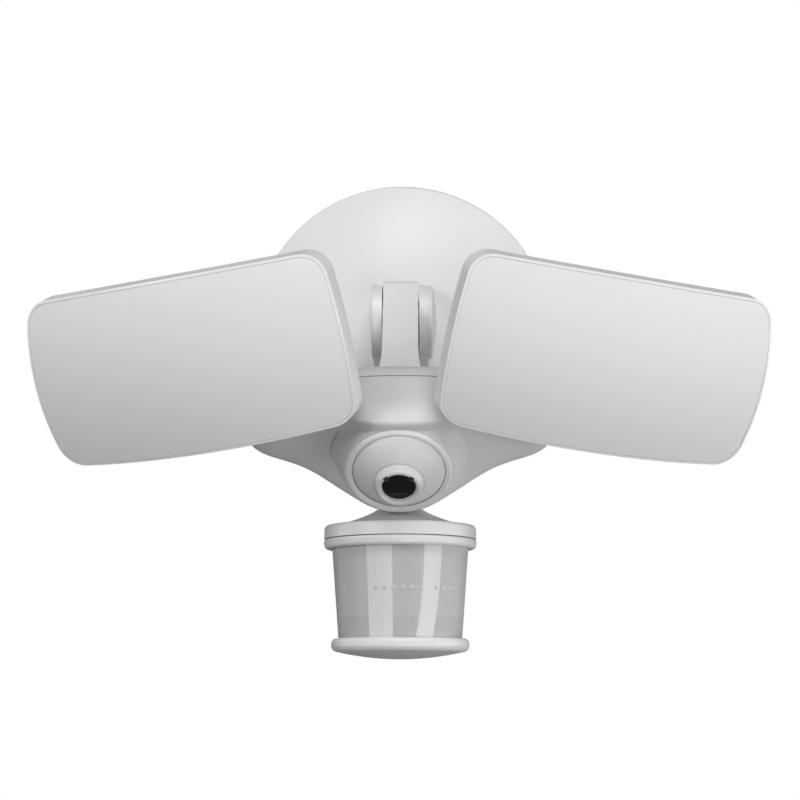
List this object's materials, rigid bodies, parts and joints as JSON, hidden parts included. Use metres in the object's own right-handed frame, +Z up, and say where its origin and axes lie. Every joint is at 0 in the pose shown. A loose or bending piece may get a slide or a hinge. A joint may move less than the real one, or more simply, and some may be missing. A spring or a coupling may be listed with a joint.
{
  "type": "floodlight security camera",
  "caption": "Wall-mounted security camera with swivelling LED floodlight heads, a ball camera and a hanging motion sensor on a tilting arm and round canopy.",
  "frame": {"origin": "middle of the canopy back face, on the wall plane, between the two box screw slots", "axes": "+Z up, -Y out of the wall towards the viewer, +X to the right seen from the front"},
  "size_m": [0.2802, 0.1417, 0.2054],
  "materials": {
    "white_shell": "satin white",
    "steel": "zinc plated",
    "green_screw": "green",
    "seal_rubber": "matte grey",
    "circuit_board": "solder mask",
    "driver_case": "matte black",
    "antenna": "gold plated",
    "inner_plastic": "black",
    "lens_black": "high gloss",
    "optical_glass": "clear",
    "frosted_lens": "translucent ribbed",
    "diffuser": "frosted satin",
    "led_chip": "phosphor yellow",
    "sensor_can": "nickel"
  },
  "bodies": {
    "wall_mount": {"mounting_bracket": "steel", "wall_gasket": "seal_rubber", "canopy_cover": "white_shell", "canopy_screws": "steel", "ground_screw": "green_screw", "hinge_bolt": "steel", "hinge_nut": "steel", "hinge_washers": "steel", "hinge_cap_left": "white_shell", "hinge_cap_right": "white_shell"},
    "fixture": {"main_housing": "white_shell", "top_cover": "white_shell", "housing_seal": "seal_rubber", "housing_screws": "steel", "tilt_arm": "white_shell", "arm_screws": "steel", "main_board": "circuit_board", "led_driver": "driver_case", "speaker": "driver_case", "wifi_antenna": "antenna", "camera_bezel": "white_shell", "camera_socket": "inner_plastic"},
    "camera_gimbal": {"camera_cross": "steel"},
    "camera": {"camera_ball_front": "white_shell", "camera_ball_rear": "white_shell", "lens_ring": "white_shell", "lens_cover": "lens_black", "lens_barrel": "inner_plastic", "lens_elements": "optical_glass", "image_sensor_board": "circuit_board"},
    "sensor_neck": {"pir_swivel": "inner_plastic", "pir_swivel_nut": "steel"},
    "sensor_head": {"pir_top_cap": "white_shell", "pir_tilt_pin": "steel", "pir_ring": "white_shell", "pir_fresnel_lens": "frosted_lens", "pir_bottom_cap": "white_shell", "pir_board": "circuit_board", "pir_elements": "sensor_can", "pir_screws": "steel"},
    "left_swivel_body": {"left_swivel": "white_shell", "left_swivel_nut": "steel"},
    "right_swivel_body": {"right_swivel": "white_shell", "right_swivel_nut": "steel"},
    "left_head": {"left_frame": "white_shell", "left_diffuser": "diffuser", "left_gasket": "seal_rubber", "left_back_casing": "white_shell", "left_led_board": "circuit_board", "left_leds": "led_chip", "left_board_screws": "steel", "left_tilt_bolt": "steel"},
    "right_head": {"right_frame": "white_shell", "right_diffuser": "diffuser", "right_gasket": "seal_rubber", "right_back_casing": "white_shell", "right_led_board": "circuit_board", "right_leds": "led_chip", "right_board_screws": "steel", "right_tilt_bolt": "steel"}
  },
  "joints": [
    {"name": "fixture_tilt", "type": "hinge", "parent": "wall_mount", "child": "fixture", "pos_m": [0, -0.039, -0.0036], "axis": [-1, 0, 0], "range_deg": [-8, 60]},
    {"name": "left_pan", "type": "hinge", "parent": "fixture", "child": "left_swivel_body", "pos_m": [-0.05079, -0.08313, -0.03236], "axis": [0, 0, -1], "range_deg": [-2, 30]},
    {"name": "left_tilt", "type": "hinge", "parent": "left_swivel_body", "child": "left_head", "pos_m": [-0.05079, -0.08313, -0.03236], "axis": [0.956, -0.2723, 0.1087], "range_deg": [-25, 2]},
    {"name": "right_pan", "type": "hinge", "parent": "fixture", "child": "right_swivel_body", "pos_m": [0.05079, -0.08313, -0.03236], "axis": [0, 0, 1], "range_deg": [-2, 30]},
    {"name": "right_tilt", "type": "hinge", "parent": "right_swivel_body", "child": "right_head", "pos_m": [0.05079, -0.08313, -0.03236], "axis": [0.956, 0.2723, -0.1087], "range_deg": [-25, 2]},
    {"name": "camera_tilt", "type": "hinge", "parent": "fixture", "child": "camera_gimbal", "pos_m": [0, -0.0887, -0.0629], "axis": [1, 0, 0], "range_deg": [-10, 10]},
    {"name": "camera_pan", "type": "hinge", "parent": "camera_gimbal", "child": "camera", "pos_m": [0, -0.0887, -0.0629], "axis": [0, -0.7361, 0.6769], "range_deg": [-10, 10]},
    {"name": "sensor_pan", "type": "hinge", "parent": "fixture", "child": "sensor_neck", "pos_m": [0, -0.064, -0.087], "axis": [0, 0, 1], "range_deg": [-60, 60]},
    {"name": "sensor_tilt", "type": "hinge", "parent": "sensor_neck", "child": "sensor_head", "pos_m": [0, -0.064, -0.087], "axis": [1, 0, 0], "range_deg": [0, 8]}
  ]
}
